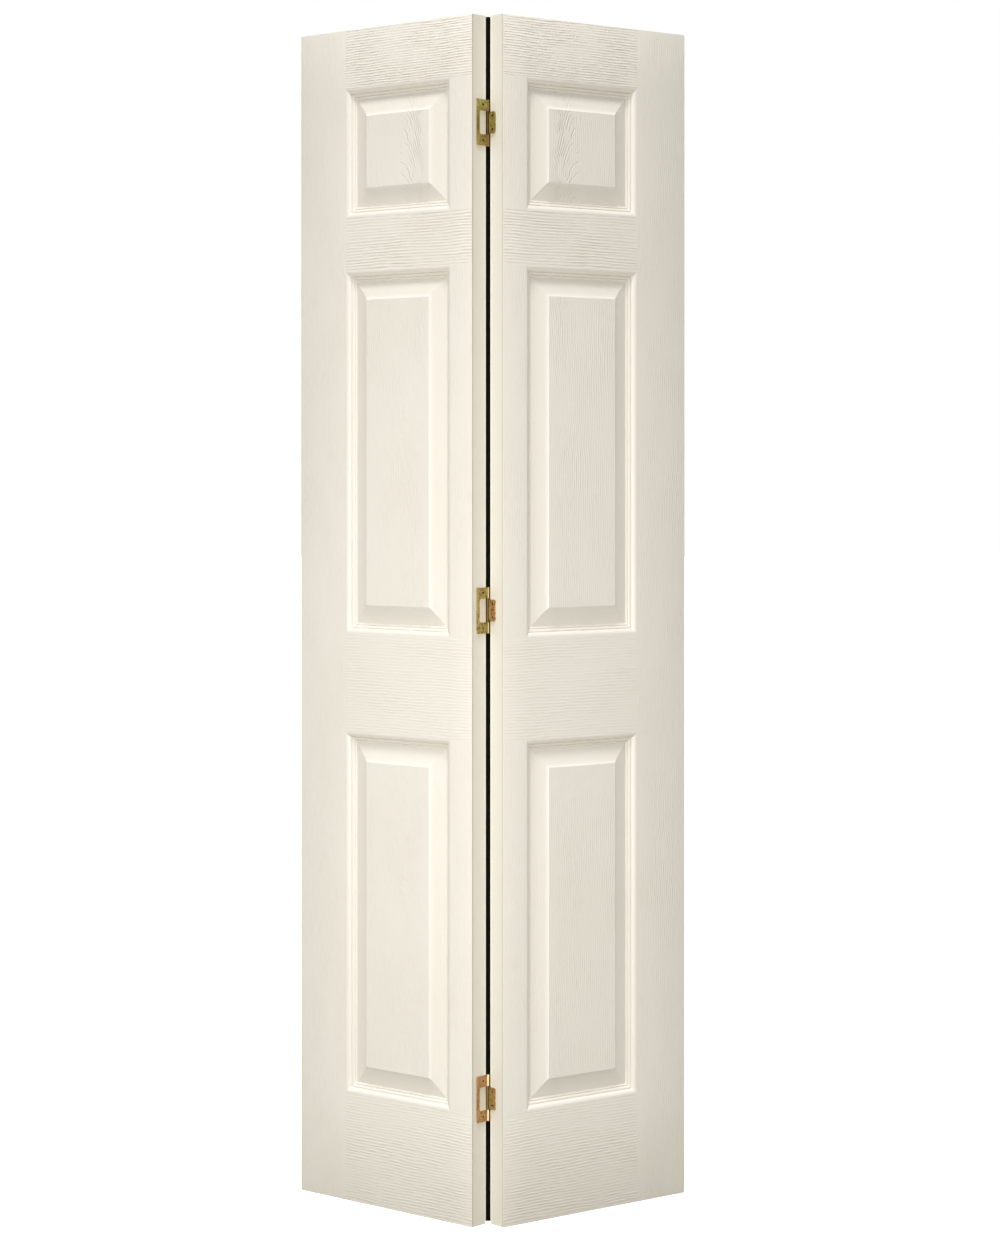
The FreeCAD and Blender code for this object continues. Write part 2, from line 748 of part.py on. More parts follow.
def write(pieces):
    os.makedirs(PARTS_FOLDER, exist_ok=True)
    for piece in pieces:
        piece.Shape.exportStep(os.path.join(PARTS_FOLDER, f"{piece.Label}.step"))
        solids = len(piece.Shape.Solids)
        print(f"{piece.Label}: {solids} solid(s), {piece.Shape.Volume / 1000:.2f} cm3")


all_pieces = make_leaf(LEFT) + make_leaf(RIGHT) + make_hinges()
doc.recompute()
check(all_pieces)
write(all_pieces)
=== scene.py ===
"""Bifold closet door: two pressed, panelled leaves, their hinges and the finish of every surface.

Each leaf is built in a frame of its own: u runs from the crease across the leaf's width, depth
from its room face to its back, and height upwards. The left leaf is the mirror of the right.
Sizes are in metres, written as millimetres where they are named.
"""
import json
import math

import bmesh
import bpy
from mathutils import Matrix, Vector


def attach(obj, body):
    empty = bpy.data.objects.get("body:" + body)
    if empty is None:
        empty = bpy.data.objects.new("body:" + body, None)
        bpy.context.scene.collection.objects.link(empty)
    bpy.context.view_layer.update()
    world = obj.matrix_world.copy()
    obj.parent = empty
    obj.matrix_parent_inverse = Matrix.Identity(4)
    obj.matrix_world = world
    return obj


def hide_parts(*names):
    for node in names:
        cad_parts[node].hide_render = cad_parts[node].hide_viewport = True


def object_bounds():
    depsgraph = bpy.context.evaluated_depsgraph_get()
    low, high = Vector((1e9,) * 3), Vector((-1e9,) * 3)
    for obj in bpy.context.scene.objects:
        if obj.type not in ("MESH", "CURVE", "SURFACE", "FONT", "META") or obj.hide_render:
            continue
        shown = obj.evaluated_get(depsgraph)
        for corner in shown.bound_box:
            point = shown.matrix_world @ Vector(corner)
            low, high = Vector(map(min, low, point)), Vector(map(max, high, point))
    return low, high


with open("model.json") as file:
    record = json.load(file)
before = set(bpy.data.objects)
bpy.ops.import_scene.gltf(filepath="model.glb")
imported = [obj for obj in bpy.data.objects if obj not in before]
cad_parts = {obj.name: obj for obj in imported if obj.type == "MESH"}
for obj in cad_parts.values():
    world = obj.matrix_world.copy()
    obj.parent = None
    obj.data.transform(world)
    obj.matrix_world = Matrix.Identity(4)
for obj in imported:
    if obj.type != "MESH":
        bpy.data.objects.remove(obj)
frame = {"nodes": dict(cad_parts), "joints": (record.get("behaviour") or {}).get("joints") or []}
cad_low, cad_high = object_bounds()

MM = 0.001
LEFT, RIGHT = -1, 1
SIDE_NAMES = {LEFT: "left", RIGHT: "right"}
BODIES = {LEFT: "pivot_leaf", RIGHT: "guide_leaf"}
HINGES = ("bottom", "middle", "top")

# ---------------------------------------------------------------- sizes

fold = frame["joints"][0]
PIN_AXIS = Vector(fold["pos_m"])
FOLD_ANGLE = -math.radians(fold["range_deg"][0]) / 2

LEAF_WIDTH = 398.5 * MM
LEAF_HEIGHT = cad_high.z - cad_low.z
LEAF_THICKNESS = 34.93 * MM
SKIN = 3.2 * MM
LEAF_GAP = 2.4 * MM
PIN_SETBACK = 4.2 * MM

HINGE_MARGIN = 47.9 * MM
OUTER_MARGIN = 107.8 * MM
TOP_RAIL = 100.8 * MM
TOP_PANEL = 221.0 * MM
FRIEZE_RAIL = 92.6 * MM
LOCK_RAIL = 169.5 * MM
BOTTOM_PANEL = 618.2 * MM
BOTTOM_RAIL = 185.0 * MM

# Pressed moulding round each panel, from the opening's edge inwards; pairs are width and drop
MOULDING = 49.2 * MM
OVOLO = (8.5 * MM, 5.0 * MM)
QUIRK = 1.0 * MM
GROOVE_WIDTH, GROOVE_DEPTH = 1.3 * MM, 1.0 * MM
BEAD = (5.0 * MM, 2.2 * MM)
FILLET = 4.0 * MM
RECESS = 10.6 * MM
BEVEL_HOLLOW = 0.25 * MM
NOSE = (4.5 * MM, 3.5 * MM)
EASED_EDGE = 0.6 * MM

# Hinges
BOTTOM_HINGE_RISE = 208.7 * MM
TOP_HINGE_DROP = 177.5 * MM
HINGE_HEIGHT = 76.2 * MM
PLATE = 1.8 * MM
TALL_PLATE_WIDTH = 23.7 * MM
WINDOW_HEIGHT = 39.5 * MM
WINDOW_DEPTH = 17.6 * MM
WINDOW_CORNER = 3.8 * MM
SMALL_PLATE = (15.6 * MM, 36.3 * MM)
SMALL_PLATE_CORNER = 4.5 * MM
BARREL_RADIUS = 3.3 * MM
BORE_RADIUS = 1.55 * MM
KNUCKLE_GAP = 0.15 * MM
CURL_GAP = 0.35 * MM
CURL_TURN = math.radians(342)
STAMPED_EDGE = 0.3 * MM
CURL_EDGE = 0.44 * MM

# The pin, and its domed head as shares of the head's radius and drops below its tip
PIN_RADIUS = 1.5 * MM
PIN_STAND_OUT = 0.5 * MM
PIN_HEAD_RADIUS = 2.2 * MM
PIN_DOME = ((0, 0), (0.5, 0.04 * MM), (0.85, 0.18 * MM), (1, 0.45 * MM), (0.96, PIN_STAND_OUT))

# Screws. Of the two in a plate: how far they stand apart, and how far in from the leaf's back
TALL_SCREWS = (59.3 * MM, 9.0 * MM)
SMALL_SCREWS = (22.4 * MM, 7.5 * MM)
SCREW_LENGTH = 19.0 * MM
SCREW_RADIUS = 1.5 * MM
SCREW_TIP = 0.5 * MM
POINT_LENGTH = 4.0 * MM
THREAD_PITCH, THREAD_DEPTH = 1.3 * MM, 0.35 * MM
HEAD_RADIUS, HEAD_RIM = 3.1 * MM, 0.08 * MM
HEAD_SLOPE = math.tan(math.radians(82) / 2)
HOLE_CLEARANCE = 0.2 * MM
CROSS_ARM, CROSS_WIDTH, CROSS_DEPTH = 2.5 * MM, 1.9 * MM, 1.8 * MM
CROSS_FLOOR_ARM, CROSS_FLOOR_WIDTH = CROSS_ARM * 0.55, CROSS_WIDTH * 0.6
# Degrees by which the crosses turn from hinge to hinge, and to each end of a plate
TURN_BY_HINGE, TURN_BY_END = 50, 25

# Tolerances: of cuts and flat faces, of points that are one, and of a skin's room face
ON_PLANE, WELD, FLUSH = 1e-7, 1e-6, 0.02 * MM

ARC_STEPS = 8
CORNER_STEPS = 6
EASED_STEPS = 3
STAMPED_STEPS = 2
ROUND_STEPS = 32
CURL_STEPS = 44

# Arrises steeper than these are shaded sharp, stamped ones are rounded, and edges that run at
# least this much aslant are mitres
SKIN_ARRIS, METAL_ARRIS, SCREW_ARRIS = math.radians(24), math.radians(40), math.radians(30)
STAMPED_ARRIS = 1.2
MITRE_SLOPE = 0.3

# Parts of a face's normal along one axis: above SQUARE it faces that way, above FLAT almost
# exactly so, and the moulding's room side never turns further to the back than UNDERCUT
SQUARE, FLAT, UNDERCUT = 0.5, 0.9, 0.3

panel_spans = [
    (BOTTOM_RAIL, BOTTOM_RAIL + BOTTOM_PANEL),
    (BOTTOM_RAIL + BOTTOM_PANEL + LOCK_RAIL, LEAF_HEIGHT - TOP_RAIL - TOP_PANEL - FRIEZE_RAIL),
    (LEAF_HEIGHT - TOP_RAIL - TOP_PANEL, LEAF_HEIGHT - TOP_RAIL),
]
opening_end = LEAF_WIDTH - OUTER_MARGIN
sticking_width = OVOLO[0] + BEAD[0] + FILLET
plate_face = PLATE - LEAF_GAP / 2
plate_seat = -(BARREL_RADIUS + PIN_RADIUS) / 2
hinge_pitch = (LEAF_HEIGHT - BOTTOM_HINGE_RISE - TOP_HINGE_DROP) / (len(HINGES) - 1)


# ---------------------------------------------------------------- where things stand

def fold_matrix(side):
    """Turns a leaf's own pieces about the pin axis."""
    return Matrix.Translation(PIN_AXIS) @ Matrix.Rotation(side * FOLD_ANGLE, 4, "Z")


def leaf_matrix(side, back=False):
    """From (u, depth, height) to the object's frame; the back skin's depth counts forwards."""
    corner = Matrix.Translation((side * LEAF_GAP / 2, -PIN_SETBACK - LEAF_THICKNESS, 0))
    turn = Matrix.Diagonal((side, -1 if back else 1, 1, 1))
    if back:
        turn = Matrix.Translation((0, LEAF_THICKNESS, 0)) @ turn
    return fold_matrix(side) @ corner @ turn


def hinge_matrix(side, index):
    """The middle of a hinge's pin. Plates are drawn for the left leaf and turned over for the
    right one."""
    rise = Matrix.Translation((0, 0, BOTTOM_HINGE_RISE + index * hinge_pitch))
    turn = Matrix.Rotation(math.pi, 4, "Y") if side == RIGHT else Matrix.Identity(4)
    return fold_matrix(side) @ rise @ turn


# ---------------------------------------------------------------- pieces

def add_to_scene(name, data):
    """An object of a mesh, a lamp or a camera."""
    item = bpy.data.objects.new(name, data)
    bpy.context.scene.collection.objects.link(item)
    return item


def add_piece(name, bm, body, finishes, node):
    """Makes an object of a mesh that is already in place, and hangs it on its body in place of
    a node."""
    bmesh.ops.recalc_face_normals(bm, faces=bm.faces)
    mesh = bpy.data.meshes.new(name)
    bm.to_mesh(mesh)
    bm.free()
    for finish in finishes:
        mesh.materials.append(finish)
    piece = add_to_scene(name, mesh)
    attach(piece, body)
    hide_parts(node)


def add_part(bm, part):
    """Moves a part's mesh into a larger one."""
    scratch = bpy.data.meshes.new("part")
    part.to_mesh(scratch)
    part.free()
    bm.from_mesh(scratch)
    bpy.data.meshes.remove(scratch)


def soften(bm, limit):
    """Smooth shading, but sharp at mitres and at arrises steeper than the limit."""
    for face in bm.faces:
        face.smooth = True
    for edge in bm.edges:
        run = edge.verts[1].co - edge.verts[0].co
        across = sorted(abs(x) for x in run)
        mitre = across[1] > MITRE_SLOPE * across[2]
        edge.smooth = not mitre and edge.calc_face_angle(math.pi) < limit


def ease_edges(bm, edges, offset, segments):
    """Rounds edges off."""
    bmesh.ops.bevel(
        bm, geom=edges, offset=offset, segments=segments, profile=0.5, affect="EDGES",
        material=-1,
    )


def round_corners(bm, corners, radius, segments):
    """Rounds the corners of a flat face."""
    bmesh.ops.bevel(
        bm, geom=corners, offset=radius, segments=segments, profile=0.5, affect="VERTICES",
        material=-1,
    )


# ---------------------------------------------------------------- skins

def arc(start, end, bulge):
    """Points after start up to end on a flat circular arc, where bulge is its rise over the
    chord."""
    start, end = Vector(start), Vector(end)
    chord = end - start
    out = Vector((-chord.y, chord.x)).normalized()
    half = chord.length / 2
    radius = (half ** 2 + bulge ** 2) / (2 * abs(bulge))
    sweep = math.asin(half / radius)
    points = []
    for step in range(1, ARC_STEPS + 1):
        angle = sweep * (2 * step / ARC_STEPS - 1)
        along = radius * math.sin(angle) / half
        rise = radius * (math.cos(angle) - math.cos(sweep)) * math.copysign(1, bulge)
        points.append(start + chord * (along + 1) / 2 + out * rise)
    return points


def quarter_rise(width, drop):
    """Bulge of the arc that leaves its start level and falls by drop over width."""
    chord = math.hypot(width, drop)
    radius = chord ** 2 / (2 * drop)
    return radius - math.sqrt(radius ** 2 - chord ** 2 / 4)


def groove(start, lip):
    """A sharp groove that begins at start. Its far edge is at this drop."""
    return [
        Vector((start + GROOVE_WIDTH / 3, lip + GROOVE_DEPTH)),
        Vector((start + GROOVE_WIDTH, lip)),
    ]


def moulding_profile():
    """Section of the pressed moulding as (distance from the opening's edge, drop)."""
    bead_top = OVOLO[1] + QUIRK
    bead_end = OVOLO[0] + BEAD[0]
    fillet_top = bead_top + BEAD[1] + QUIRK / 2
    fillet_rise = quarter_rise(FILLET, RECESS - fillet_top)
    points = [Vector((0, 0))]
    points += arc(points[-1], OVOLO, -quarter_rise(*OVOLO))
    points += groove(OVOLO[0], bead_top)
    points += arc(points[-1], (bead_end, bead_top + BEAD[1]), -quarter_rise(*BEAD))
    points += groove(bead_end, fillet_top)
    points += arc(points[-1], (sticking_width, RECESS), -fillet_rise)
    points += arc(points[-1], (MOULDING - NOSE[0], NOSE[1]), BEVEL_HOLLOW)
    points.append(Vector((MOULDING, 0)))
    return points


def skin_back_profile():
    """The plainer inner side of the moulding, one skin thickness behind its main slopes."""
    bead_foot = OVOLO[1] + QUIRK + BEAD[1]
    return [
        Vector((0, 0)),
        Vector((OVOLO[0], bead_foot)),
        Vector((sticking_width, RECESS)),
        Vector((MOULDING - NOSE[0] + SKIN / 2, NOSE[1])),
        Vector((MOULDING, 0)),
    ]


def press(bm, face, profile):
    """Presses a moulding into a face: one mitred inset for each step of the profile."""
    for start, end in zip(profile, profile[1:]):
        bmesh.ops.inset_region(
            bm, faces=[face], thickness=end.x - start.x, depth=start.y - end.y,
            use_even_offset=True, use_boundary=True,
        )


def in_opening(u, height):
    """How far a point lies inside a panel's opening, or a negative number outside them all."""
    depths = [
        min(u - HINGE_MARGIN, opening_end - u, height - foot, top - height)
        for foot, top in panel_spans
    ]
    return max(depths)


GRAINED_RAIL, GRAINED_STILE, GRAINED_FIELD, BEVEL, NOSING, STICKING, EDGE, BARE = range(8)


def surface_of(face):
    """Which finish a face of the skin has."""
    u, depth, height = face.calc_center_median()
    inside = in_opening(u, height)
    if inside > 0 and face.normal.y < UNDERCUT and depth < RECESS + FLUSH:
        if inside < sticking_width:
            return STICKING
        if inside > MOULDING:
            return GRAINED_FIELD
        return NOSING if inside > MOULDING - NOSE[0] else BEVEL
    if face.normal.y < -SQUARE:
        rails = all(height < foot or height > top for foot, top in panel_spans)
        return GRAINED_RAIL if rails and u < opening_end else GRAINED_STILE
    if abs(face.normal.x) > SQUARE and depth < SKIN:
        return EDGE
    return BARE


def lay_sheets(bm):
    """The skin's room face and its plain inner side, cut along the edges of the openings."""
    upright = Matrix(((1, 0, 0, 0), (0, 0, 1, 0), (0, 1, 0, 0), (0, 0, 0, 1)))
    size = Matrix.Diagonal((LEAF_WIDTH, 1, LEAF_HEIGHT, 1))
    for depth in (0, SKIN):
        middle = Matrix.Translation((LEAF_WIDTH / 2, depth, LEAF_HEIGHT / 2))
        bmesh.ops.create_grid(
            bm, x_segments=1, y_segments=1, size=0.5, matrix=middle @ size @ upright
        )
    cuts = [(Vector((u, 0, 0)), Vector((1, 0, 0))) for u in (HINGE_MARGIN, opening_end)]
    cuts += [(Vector((0, 0, z)), Vector((0, 0, 1))) for span in panel_spans for z in span]
    for place, normal in cuts:
        bmesh.ops.bisect_plane(
            bm, geom=bm.verts[:] + bm.edges[:] + bm.faces[:], dist=ON_PLANE, plane_co=place,
            plane_no=normal,
        )


def make_skin(side, back, finishes):
    """A pressed skin: a sheet with three moulded panels, raised fields and a plain inner side."""
    bm = bmesh.new()
    lay_sheets(bm)
    for face in bm.faces[:]:
        u, depth, height = face.calc_center_median()
        if in_opening(u, height) > 0:
            press(bm, face, skin_back_profile() if depth > SKIN / 2 else moulding_profile())
    bmesh.ops.bridge_loops(bm, edges=[edge for edge in bm.edges if edge.is_boundary])
    bmesh.ops.recalc_face_normals(bm, faces=bm.faces)
    front_arris = [
        edge for edge in bm.edges
        if all(v.co.y < FLUSH for v in edge.verts)
        and any(abs(face.normal.y) < SQUARE for face in edge.link_faces)
        and in_opening(*(edge.verts[0].co + edge.verts[1].co).xz / 2) < 0
    ]
    ease_edges(bm, front_arris, EASED_EDGE, EASED_STEPS)
    soften(bm, SKIN_ARRIS)
    uv_layer = bm.loops.layers.uv.new("UVMap")
    for face in bm.faces:
        face.material_index = surface_of(face)
        for loop in face.loops:
            loop[uv_layer].uv = loop.vert.co.xz
    bmesh.ops.transform(bm, matrix=leaf_matrix(side, back), verts=bm.verts)
    name = f"{SIDE_NAMES[side]}_{'back' if back else 'front'}"
    add_piece(f"{name}_pressed_skin", bm, BODIES[side], finishes, f"{name}_skin")


# ---------------------------------------------------------------- hinges

# Finishes of a plate after that of its faces: the window's edge, paler as a painted highlight,
# and the knuckles
EDGE_HIGHLIGHT, CURL = 1, 2


def draw_plate(corners, rounded, radius, screws):
    """A plate with two countersunk holes: its two faces are outlined, filled and joined.
    Corners are (y, z), and rounded says which of them have this radius."""
    spacing, inset = screws
    face_radius = HEAD_RADIUS + HOLE_CLEARANCE
    faces = ((plate_face, face_radius), (-LEAF_GAP / 2, face_radius - PLATE * HEAD_SLOPE))
    bm = bmesh.new()
    loops = []
    for x, hole_radius in faces:
        verts = [bm.verts.new((x, y, z)) for y, z in corners]
        bm.faces.new(verts)
        sharp = [v for v, turned in zip(verts, rounded) if turned]
        round_corners(bm, sharp, radius, CORNER_STEPS)
        outline = [edge for edge in bm.edges if abs(edge.verts[0].co.x - x) < ON_PLANE]
        plain = [f for f in bm.faces if abs(f.calc_center_median().x - x) < ON_PLANE]
        bmesh.ops.delete(bm, geom=plain, context="FACES_KEEP_BOUNDARY")
        rings = []
        for height in (-spacing / 2, spacing / 2):
            place = Matrix.Translation((x, -PIN_SETBACK - inset, height))
            place = place @ Matrix.Rotation(math.pi / 2, 4, "Y")
            made = bmesh.ops.create_circle(
                bm, segments=ROUND_STEPS, radius=hole_radius, matrix=place
            )
            rings.append(list({edge for v in made["verts"] for edge in v.link_edges}))
        every = outline + [edge for ring in rings for edge in ring]
        bmesh.ops.triangle_fill(bm, edges=every, use_beauty=True, use_dissolve=False)
        loops.append([outline] + rings)
    for front, behind in zip(*loops):
        bmesh.ops.bridge_loops(bm, edges=front + behind)
    sharp = [e for e in bm.edges if len(e.link_faces) == 2 and e.calc_face_angle(0) > STAMPED_ARRIS]
    ease_edges(bm, sharp, STAMPED_EDGE, STAMPED_STEPS)
    return bm


def add_knuckle(bm, foot, top):
    """One curl of the plate round the pin, with its seam on the plate's open side."""
    seam = math.atan2(-BARREL_RADIUS, plate_face + CURL_GAP)
    turn = Matrix.Rotation(seam, 4, "Z")
    corners = [
        (BORE_RADIUS, foot), (BARREL_RADIUS, foot), (BARREL_RADIUS, top), (BORE_RADIUS, top)
    ]
    curl = bmesh.new()
    curl.faces.new([curl.verts.new(turn @ Vector((r, 0, z))) for r, z in corners])
    round_corners(curl, curl.verts[:], CURL_EDGE, EASED_STEPS)
    bmesh.ops.spin(
        curl, geom=curl.faces[:] + curl.edges[:] + curl.verts[:], cent=(0, 0, 0),
        axis=(0, 0, 1), angle=CURL_TURN, steps=CURL_STEPS, use_duplicate=False,
    )
    for face in curl.faces:
        face.material_index = CURL
    add_part(bm, curl)


def hang_hinge_part(bm, side, index, part, finishes, node):
    """Sets a drawn part of a hinge in its place on a leaf."""
    soften(bm, METAL_ARRIS)
    bmesh.ops.transform(bm, matrix=hinge_matrix(side, index), verts=bm.verts)
    name = HINGES[index]
    add_piece(
        f"{name}_hinge_{part}", bm, BODIES[side], finishes, f"hinge_{name}_{node}"
    )


def make_tall_plate(index, finishes):
    """The tall plate on the left leaf: a frame round a window, with a knuckle at each end."""
    free, window = -PIN_SETBACK - TALL_PLATE_WIDTH, -PIN_SETBACK - WINDOW_DEPTH
    top, sill = HINGE_HEIGHT / 2, WINDOW_HEIGHT / 2
    corners = [
        (free, -top), (plate_seat, -top), (plate_seat, -sill), (window, -sill),
        (window, sill), (plate_seat, sill), (plate_seat, top), (free, top),
    ]
    rounded = [y == window for y, _ in corners]
    bm = draw_plate(corners, rounded, WINDOW_CORNER, TALL_SCREWS)
    # The window's stamped edge takes the pale finish: a painted highlight
    for face in bm.faces:
        _, y, z = face.calc_center_median()
        in_window = y > window - STAMPED_EDGE and abs(z) < sill + STAMPED_EDGE
        if in_window and abs(face.normal.x) < FLAT:
            face.material_index = EDGE_HIGHLIGHT
    add_knuckle(bm, -top, -sill)
    add_knuckle(bm, sill, top)
    hang_hinge_part(bm, LEFT, index, "tall_plate", finishes, "outer_plate")


def make_small_plate(index, finishes):
    """The small plate on the right leaf, which closes into the window, with the middle
    knuckle."""
    width, height = SMALL_PLATE
    free, top = -PIN_SETBACK - width, height / 2
    corners = [(free, -top), (plate_seat, -top), (plate_seat, top), (free, top)]
    rounded = [y == free for y, _ in corners]
    bm = draw_plate(corners, rounded, SMALL_PLATE_CORNER, SMALL_SCREWS)
    half = WINDOW_HEIGHT / 2 - KNUCKLE_GAP
    add_knuckle(bm, -half, half)
    hang_hinge_part(bm, RIGHT, index, "small_plate", finishes, "inner_plate")


def spin_profile(bm, profile):
    """Turns a line of (radius, height) points about the Z axis and closes its poles."""
    verts = [bm.verts.new((r, 0, z)) for r, z in profile]
    edges = [bm.edges.new(pair) for pair in zip(verts, verts[1:])]
    bmesh.ops.spin(
        bm, geom=verts + edges, cent=(0, 0, 0), axis=(0, 0, 1), angle=2 * math.pi,
        steps=ROUND_STEPS, use_merge=True, use_duplicate=False,
    )
    bmesh.ops.remove_doubles(bm, verts=bm.verts, dist=WELD)


def make_pin(index, finishes):
    """The fixed pin, spread into a low dome over each end of the barrel."""
    end = HINGE_HEIGHT / 2
    half = [(PIN_HEAD_RADIUS * share, end + PIN_STAND_OUT - drop) for share, drop in PIN_DOME]
    half.append((PIN_RADIUS, end))
    bm = bmesh.new()
    spin_profile(bm, half + [(r, -z) for r, z in reversed(half)])
    hang_hinge_part(bm, LEFT, index, "pin", finishes, "pin")


# ---------------------------------------------------------------- screws

# Finish of the cross recess, darkened as painted shade, after that of the rest of the screw
CROSS = 1


def cross_ring(bm, arm, width, z):
    """The outline of a cross-shaped recess, with its twelve corners at this height."""
    verts = []
    for quarter in range(4):
        turn = Matrix.Rotation(quarter * math.pi / 2, 3, "Z")
        for x, y in ((arm, -width / 2), (arm, width / 2), (width / 2, width / 2)):
            verts.append(bm.verts.new(turn @ Vector((x, y, z))))
    return [bm.edges.new((a, b)) for a, b in zip(verts, verts[1:] + verts[:1])]


def screw_profile():
    """Half a section of a wood screw from its head's rim to its point."""
    neck = (HEAD_RADIUS - SCREW_RADIUS) / HEAD_SLOPE
    profile = [(HEAD_RADIUS, 0), (HEAD_RADIUS, -HEAD_RIM), (SCREW_RADIUS, -neck)]
    depth = neck + THREAD_PITCH
    while depth < SCREW_LENGTH - SCREW_TIP:
        taper = min(1, (SCREW_LENGTH - depth) / POINT_LENGTH)
        profile.append(((SCREW_RADIUS - THREAD_DEPTH) * taper, -depth))
        profile.append((SCREW_RADIUS * taper, -depth - THREAD_PITCH / 2))
        depth += THREAD_PITCH
    return profile + [(0, -SCREW_LENGTH)]


def add_screw(bm, place):
    """A countersunk wood screw with a cross recess. Its head's face is at z = 0."""
    screw = bmesh.new()
    spin_profile(screw, screw_profile())
    rim = [edge for edge in screw.edges if edge.is_boundary]
    mouth = cross_ring(screw, CROSS_ARM, CROSS_WIDTH, 0)
    floor = cross_ring(screw, CROSS_FLOOR_ARM, CROSS_FLOOR_WIDTH, -CROSS_DEPTH)
    bmesh.ops.triangle_fill(screw, edges=rim + mouth, use_beauty=True, use_dissolve=False)
    head = set(screw.faces)
    bmesh.ops.bridge_loops(screw, edges=mouth + floor)
    bmesh.ops.triangle_fill(screw, edges=floor, use_beauty=True, use_dissolve=False)
    for face in set(screw.faces) - head:
        face.material_index = CROSS
    bmesh.ops.recalc_face_normals(screw, faces=screw.faces)
    soften(screw, SCREW_ARRIS)
    bmesh.ops.transform(screw, matrix=place, verts=screw.verts)
    add_part(bm, screw)


def make_screws(side, finishes):
    """The six screws of a leaf, each stopped at a turn of its own."""
    spacing, inset = TALL_SCREWS if side == LEFT else SMALL_SCREWS
    outwards = Matrix.Rotation(math.pi / 2, 4, "Y")
    bm = bmesh.new()
    for index in range(len(HINGES)):
        for end in (-1, 1):
            spot = Matrix.Translation((plate_face, -PIN_SETBACK - inset, end * spacing / 2))
            angle = math.radians(TURN_BY_HINGE * index + TURN_BY_END * end)
            drive = Matrix.Rotation(angle, 4, "Z")
            add_screw(bm, hinge_matrix(side, index) @ spot @ outwards @ drive)
    name = SIDE_NAMES[side]
    add_piece(f"{name}_leaf_screws", bm, BODIES[side], finishes, f"{name}_hinge_screws")


# ---------------------------------------------------------------- finishes

class Nodes:
    """A node tree, with a short way to add and join nodes."""

    def __init__(self, tree):
        self.tree = tree

    def set(self, node, socket, value):
        """Gives an input socket a number or colour, or joins it to an output."""
        if isinstance(value, bpy.types.NodeSocket):
            self.tree.links.new(value, node.inputs[socket])
        else:
            node.inputs[socket].default_value = value

    def add(self, kind, settings=None, **sockets):
        """A node of a kind, given its settings and its input sockets by name."""
        node = self.tree.nodes.new("ShaderNode" + kind)
        for key, value in (settings or {}).items():
            setattr(node, key, value)
        for socket, value in sockets.items():
            self.set(node, socket, value)
        return node

    def fill(self, kind, settings, values):
        """A node of a kind, given its input sockets in their order."""
        node = self.add(kind, settings)
        for index, value in enumerate(values):
            self.set(node, index, value)
        return node

    def maths(self, operation, *values):
        return self.fill("Math", {"operation": operation}, values).outputs[0]

    def remap(self, value, low, high, to_low=0.0, to_high=1.0):
        """Takes low to to_low and high to to_high, and goes no further."""
        values = (value, low, high, to_low, to_high)
        return self.fill("MapRange", {"clamp": True}, values).outputs[0]

    def seen_by(self, *rays):
        """1 for the kinds of ray that are named, 0 for the others."""
        path = self.add("LightPath")
        share = path.outputs[rays[0]]
        for ray in rays[1:]:
            share = self.maths("MAXIMUM", share, path.outputs[ray])
        return share


class Finish(Nodes):
    """A node material."""

    def __init__(self, name, colour, roughness, metallic=0.0, gloss=None):
        self.material = bpy.data.materials.new(name)
        self.material.use_nodes = True
        super().__init__(self.material.node_tree)
        self.shader = self.tree.nodes["Principled BSDF"]
        self.set(self.shader, "Base Color", (*colour, 1))
        self.set(self.shader, "Roughness", roughness)
        self.set(self.shader, "Metallic", metallic)
        if gloss is not None:
            self.set(self.shader, "Specular IOR Level", gloss)

    def place(self):
        """Where a point of the piece is, in the object's frame."""
        return self.add("TexCoord").outputs["Object"]

    def noise(self, place, scale, detail=2.0):
        return self.add("TexNoise", Vector=place, Scale=scale, Detail=detail).outputs["Fac"]

    def stretched(self, place, stretch, shift=(0, 0, 0), detail=2.0, scale=1.0):
        """Noise that is stretched by its own share along each axis."""
        place = self.add("Mapping", Vector=place, Location=shift, Scale=stretch).outputs[0]
        return self.noise(place, scale, detail)

    def sway(self, value, noise, swing):
        """Moves a value to and fro with a noise, by half the swing each way at most."""
        return self.maths("MULTIPLY_ADD", self.maths("SUBTRACT", noise, 0.5), swing, value)

    def blend(self, share, first, second):
        """Mixes two colours or two colour sockets."""
        node = self.add("Mix", {"data_type": "RGBA"}, Factor=share)
        for socket, value in (("A", first), ("B", second)):
            target = next(i for i in node.inputs if i.name == socket and i.type == "RGBA")
            if isinstance(value, bpy.types.NodeSocket):
                self.tree.links.new(value, target)
            else:
                target.default_value = (*value, 1)
        return next(o for o in node.outputs if o.type == "RGBA")

    def ramp(self, value, tints, places):
        """A colour that runs through tints as value passes their places."""
        node = self.add("ValToRGB", Fac=value)
        stops = node.color_ramp.elements
        while len(stops) < len(tints):
            stops.new(0.5)
        for stop, tint, place in zip(stops, tints, places):
            stop.position = place
            stop.color = (*tint, 1)
        return node.outputs[0]

    def colour(self, tint):
        self.set(self.shader, "Base Color", tint)

    def bump(self, height, depth):
        """Raises the surface by up to depth metres where height is 1."""
        node = self.add("Bump", Height=height, Distance=depth, Strength=1.0)
        self.set(self.shader, "Normal", node.outputs[0])


def srgb(red, green, blue):
    """A colour as a screen shows it, as the linear numbers that the shader takes."""
    def linear(value):
        value /= 255
        return value / 12.92 if value <= 0.04045 else ((value + 0.055) / 1.055) ** 2.4
    return linear(red), linear(green), linear(blue)


